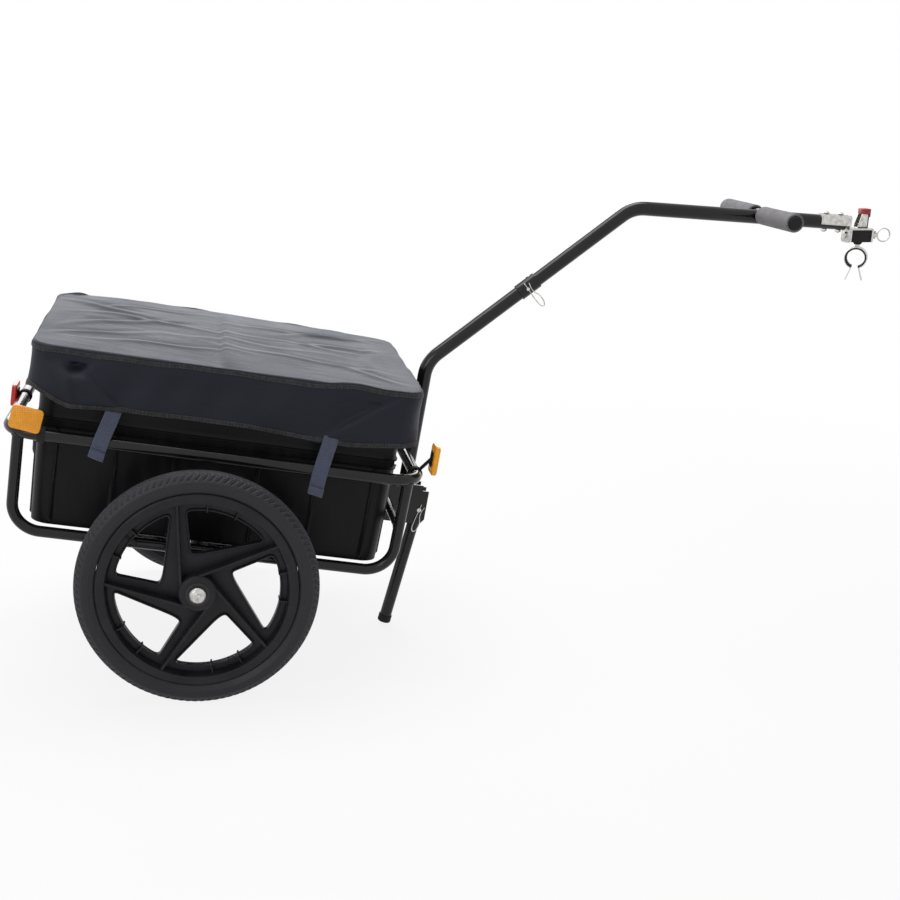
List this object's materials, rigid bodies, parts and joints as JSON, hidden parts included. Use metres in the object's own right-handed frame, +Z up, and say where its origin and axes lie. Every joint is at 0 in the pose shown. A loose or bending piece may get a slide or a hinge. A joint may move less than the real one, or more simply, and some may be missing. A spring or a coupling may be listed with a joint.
{
  "type": "bicycle cargo trailer",
  "caption": "Two-wheeled bicycle cargo trailer with a tube frame, plastic load tub under a fabric cover, cranked drawbar with seat post coupling, and fold-up stand.",
  "frame": {"origin": "on the floor under the middle of the parked trailer's bounding box", "axes": "+X forward towards the coupling, +Y to the trailer's left, +Z up; the trailer stands parked, nose down on its two wheels and its stand"},
  "size_m": [1.5863, 0.688, 0.7934],
  "materials": {
    "black_steel": "gloss black paint",
    "tyre_rubber": "matte",
    "wheel_plastic": "matte",
    "zinc_steel": "zinc plated",
    "tub_plastic": "satin",
    "grip_foam": "matte",
    "rubber": "matte",
    "cover_fabric": "coated weave"
  },
  "bodies": {
    "frame": {"upper_ring": "black_steel", "side_frame_right": "black_steel", "side_frame_left": "black_steel", "front_crossbar": "black_steel", "rear_floor_bar": "black_steel", "front_floor_bar": "black_steel", "axle_tube": "black_steel", "axle_saddle_right": "black_steel", "axle_saddle_left": "black_steel", "stub_axle_right": "zinc_steel", "axle_nut_right": "zinc_steel", "stub_axle_left": "zinc_steel", "axle_nut_left": "zinc_steel", "tub": "tub_plastic", "drawbar_lower": "black_steel", "drawbar_upper": "black_steel", "handle_bar": "black_steel", "grip_right": "grip_foam", "grip_left": "grip_foam", "drawbar_bracket": "black_steel", "stand_pin": "zinc_steel", "hitch_bracket": "zinc_steel"},
    "right_wheel": {"tyre_right": "tyre_rubber", "moulded_wheel_right": "wheel_plastic", "hub_bearings_right": "zinc_steel"},
    "left_wheel": {"tyre_left": "tyre_rubber", "moulded_wheel_left": "wheel_plastic", "hub_bearings_left": "zinc_steel"},
    "stand": {"stand_leg": "black_steel", "stand_foot": "rubber"},
    "cover": {"cover": "cover_fabric"},
    "coupling": {"hitch_block": "zinc_steel", "hitch_pin": "zinc_steel", "latch_lever": "zinc_steel"},
    "seat_clamp": {"seat_post_clamp": "zinc_steel", "clamp_liner": "rubber"}
  },
  "joints": [
    {"name": "right_wheel_spin", "type": "hinge", "parent": "frame", "child": "right_wheel", "pos_m": [-0.48328, -0.3, 0.2], "axis": [0, 1, 0], "continuous": true},
    {"name": "left_wheel_spin", "type": "hinge", "parent": "frame", "child": "left_wheel", "pos_m": [-0.48328, 0.3, 0.2], "axis": [0, 1, 0], "continuous": true},
    {"name": "stand_fold", "type": "hinge", "parent": "frame", "child": "stand", "pos_m": [-0.07394, 0, 0.23], "axis": [0, -1, 0], "range_deg": [0, 175]},
    {"name": "cover_lift", "type": "slide", "parent": "frame", "child": "cover", "axis": [0.1523, 0, 0.9883], "range_m": [0, 0.25]},
    {"name": "coupling_roll", "type": "hinge", "parent": "frame", "child": "coupling", "pos_m": [0.72799, 0, 0.73271], "axis": [1, 0, 0], "continuous": true},
    {"name": "clamp_turn", "type": "hinge", "parent": "coupling", "child": "seat_clamp", "pos_m": [0.72799, 0, 0.69171], "axis": [0, 0, 1], "continuous": true}
  ]
}
